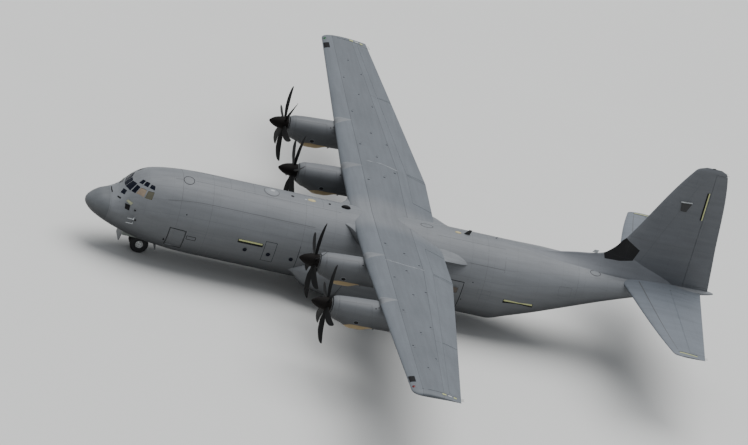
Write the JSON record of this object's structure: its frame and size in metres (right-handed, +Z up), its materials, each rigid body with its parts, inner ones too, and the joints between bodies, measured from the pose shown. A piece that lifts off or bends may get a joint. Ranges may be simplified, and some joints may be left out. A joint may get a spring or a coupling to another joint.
{
  "type": "half-scale model of a four-engined military transport aircraft",
  "caption": "High-winged transport with turboprop engines, curved blades, hollow cargo hold, rear ramp and door, tall fin and tandem main wheels in side sponsons.",
  "frame": {"origin": "on the ground, at the middle of the aircraft's length and span", "axes": "+X aft towards the tail, +Y to starboard, +Z up, so that the nose points to -X"},
  "size_m": [17.185, 20.205, 5.905],
  "materials": {
    "fuselage_paint": "matt grey paint on aluminium skin",
    "wing_paint": "matt grey paint on aluminium skin",
    "fin_paint": "matt grey paint on aluminium skin",
    "radome_plastic": "matt grey glass-fibre radome",
    "nacelle_paint": "matt grey paint",
    "blade_black": "matt black-brown paint",
    "floor_metal": "worn non-slip coating on aluminium",
    "gear_metal": "white gloss paint on steel",
    "tyre": "black rubber",
    "window_glass": "dark laminated glass",
    "inside_paint": "matt grey-green primer",
    "bright_metal": "polished chromed steel"
  },
  "bodies": {
    "airframe": {"radome": "radome_plastic", "flight_deck_hull": "fuselage_paint", "forward_hull": "fuselage_paint", "centre_hull": "fuselage_paint", "aft_hull": "fuselage_paint", "tail_cone": "fuselage_paint", "cargo_floor": "floor_metal", "flight_deck_floor": "floor_metal", "paratroop_door_port": "fuselage_paint", "paratroop_door_starboard": "fuselage_paint", "centre_wing": "wing_paint", "outer_wing_port": "wing_paint", "outer_wing_starboard": "wing_paint", "nacelle_1": "nacelle_paint", "nacelle_2": "nacelle_paint", "nacelle_3": "nacelle_paint", "nacelle_4": "nacelle_paint", "fin": "fin_paint", "tailplane": "wing_paint", "sponson_port": "fuselage_paint", "sponson_starboard": "fuselage_paint", "main_legs_port": "gear_metal", "main_legs_starboard": "gear_metal", "main_door_port": "fuselage_paint", "main_door_starboard": "fuselage_paint", "nose_leg": "gear_metal", "nose_door_front": "fuselage_paint", "nose_door_rear": "fuselage_paint"},
    "propeller_body_1": {"propeller_1": "blade_black"},
    "propeller_body_2": {"propeller_2": "blade_black"},
    "propeller_body_3": {"propeller_3": "blade_black"},
    "propeller_body_4": {"propeller_4": "blade_black"},
    "inner_flap_port_body": {"inner_flap_port": "wing_paint"},
    "inner_flap_starboard_body": {"inner_flap_starboard": "wing_paint"},
    "outer_flap_port_body": {"outer_flap_port": "wing_paint"},
    "outer_flap_starboard_body": {"outer_flap_starboard": "wing_paint"},
    "aileron_port_body": {"aileron_port": "wing_paint"},
    "aileron_starboard_body": {"aileron_starboard": "wing_paint"},
    "elevator_port_body": {"elevator_port": "wing_paint"},
    "elevator_starboard_body": {"elevator_starboard": "wing_paint"},
    "rudder_body": {"rudder": "fin_paint"},
    "ramp_body": {"cargo_ramp": "fuselage_paint"},
    "cargo_door_body": {"cargo_door": "fuselage_paint"},
    "crew_door_body": {"crew_door": "fuselage_paint"},
    "nose_steering_body": {"nose_fork": "gear_metal"},
    "nose_wheels": {"nose_tyre_port": "tyre", "nose_hub_port": "gear_metal", "nose_tyre_starboard": "tyre", "nose_hub_starboard": "gear_metal"},
    "main_wheel_front_port": {"main_tyre_front_port": "tyre", "main_hub_front_port": "gear_metal"},
    "main_wheel_rear_port": {"main_tyre_rear_port": "tyre", "main_hub_rear_port": "gear_metal"},
    "main_wheel_front_starboard": {"main_tyre_front_starboard": "tyre", "main_hub_front_starboard": "gear_metal"},
    "main_wheel_rear_starboard": {"main_tyre_rear_starboard": "tyre", "main_hub_rear_starboard": "gear_metal"}
  },
  "joints": [
    {"name": "propeller_1_turn", "type": "hinge", "parent": "airframe", "child": "propeller_body_1", "pos_m": [-2.8425, -5.075, 2.135], "axis": [1, 0, 0], "continuous": true},
    {"name": "propeller_2_turn", "type": "hinge", "parent": "airframe", "child": "propeller_body_2", "pos_m": [-2.8425, -2.535, 2.025], "axis": [1, 0, 0], "continuous": true},
    {"name": "propeller_3_turn", "type": "hinge", "parent": "airframe", "child": "propeller_body_3", "pos_m": [-2.8425, 2.535, 2.025], "axis": [1, 0, 0], "continuous": true},
    {"name": "propeller_4_turn", "type": "hinge", "parent": "airframe", "child": "propeller_body_4", "pos_m": [-2.8425, 5.075, 2.135], "axis": [1, 0, 0], "continuous": true},
    {"name": "outer_flap_port_lower", "type": "hinge", "parent": "airframe", "child": "outer_flap_port_body", "pos_m": [0.24877, -2.84, 1.92651], "axis": [0.0851, 0.9953, -0.0466], "range_deg": [0, 36]},
    {"name": "outer_flap_starboard_lower", "type": "hinge", "parent": "airframe", "child": "outer_flap_starboard_body", "pos_m": [0.24877, 2.84, 1.92651], "axis": [-0.0851, 0.9953, 0.0466], "range_deg": [0, 36]},
    {"name": "inner_flap_port_lower", "type": "hinge", "parent": "airframe", "child": "inner_flap_port_body", "pos_m": [0.25261, -1.29, 1.85178], "axis": [0, 0.9988, -0.0482], "range_deg": [0, 36]},
    {"name": "inner_flap_starboard_lower", "type": "hinge", "parent": "airframe", "child": "inner_flap_starboard_body", "pos_m": [0.25261, 1.29, 1.85178], "axis": [0, 0.9988, 0.0482], "range_deg": [0, 36]},
    {"name": "aileron_port_turn", "type": "hinge", "parent": "airframe", "child": "aileron_port_body", "pos_m": [-0.10085, -6.93, 2.56808], "axis": [0.0851, 0.9954, -0.0446], "range_deg": [-20, 20]},
    {"name": "aileron_starboard_turn", "type": "hinge", "parent": "airframe", "child": "aileron_starboard_body", "pos_m": [-0.10085, 6.93, 2.56808], "axis": [-0.0851, 0.9954, 0.0446], "range_deg": [-20, 20]},
    {"name": "elevator_port_turn", "type": "hinge", "parent": "airframe", "child": "elevator_port_body", "pos_m": [7.2975, -0.5, 2.285], "axis": [0, 1, 0], "range_deg": [-40, 15]},
    {"name": "elevator_starboard_turn", "type": "hinge", "parent": "airframe", "child": "elevator_starboard_body", "pos_m": [7.2975, 0.5, 2.285], "axis": [0, 1, 0], "range_deg": [-40, 15]},
    {"name": "rudder_turn", "type": "hinge", "parent": "airframe", "child": "rudder_body", "pos_m": [7.6875, 0, 2.43], "axis": [-0.0391, 0, 0.9992], "range_deg": [-35, 35]},
    {"name": "ramp_lower", "type": "hinge", "parent": "airframe", "child": "ramp_body", "pos_m": [2.5775, 0, 0.4], "axis": [0, 1, 0], "range_deg": [0, 33]},
    {"name": "cargo_door_raise", "type": "hinge", "parent": "airframe", "child": "cargo_door_body", "pos_m": [6.3575, 0, 1.842], "axis": [0, 1, 0], "range_deg": [0, 20]},
    {"name": "crew_door_lower", "type": "hinge", "parent": "airframe", "child": "crew_door_body", "pos_m": [-6.2, -0.916, 0.785], "axis": [1, 0, 0], "range_deg": [0, 125]},
    {"name": "nose_steering", "type": "hinge", "parent": "airframe", "child": "nose_steering_body", "pos_m": [-6.8775, 0, 0.5], "axis": [0, 0, 1], "range_deg": [-60, 60]},
    {"name": "nose_wheels_roll", "type": "hinge", "parent": "nose_steering_body", "child": "nose_wheels", "pos_m": [-6.8775, 0, 0.24538], "axis": [0, 1, 0], "continuous": true},
    {"name": "main_wheel_front_port_roll", "type": "hinge", "parent": "airframe", "child": "main_wheel_front_port", "pos_m": [-1.1025, -1.0875, 0.35196], "axis": [0, 1, 0], "continuous": true},
    {"name": "main_wheel_rear_port_roll", "type": "hinge", "parent": "airframe", "child": "main_wheel_rear_port", "pos_m": [-0.3425, -1.0875, 0.35196], "axis": [0, 1, 0], "continuous": true},
    {"name": "main_wheel_front_starboard_roll", "type": "hinge", "parent": "airframe", "child": "main_wheel_front_starboard", "pos_m": [-1.1025, 1.0875, 0.35196], "axis": [0, 1, 0], "continuous": true},
    {"name": "main_wheel_rear_starboard_roll", "type": "hinge", "parent": "airframe", "child": "main_wheel_rear_starboard", "pos_m": [-0.3425, 1.0875, 0.35196], "axis": [0, 1, 0], "continuous": true}
  ],
  "couplings": [
    {"joint": "outer_flap_starboard_lower", "follows": "outer_flap_port_lower", "ratio": 1},
    {"joint": "inner_flap_port_lower", "follows": "outer_flap_port_lower", "ratio": 1},
    {"joint": "inner_flap_starboard_lower", "follows": "outer_flap_port_lower", "ratio": 1},
    {"joint": "aileron_starboard_turn", "follows": "aileron_port_turn", "ratio": -1},
    {"joint": "elevator_starboard_turn", "follows": "elevator_port_turn", "ratio": 1}
  ]
}
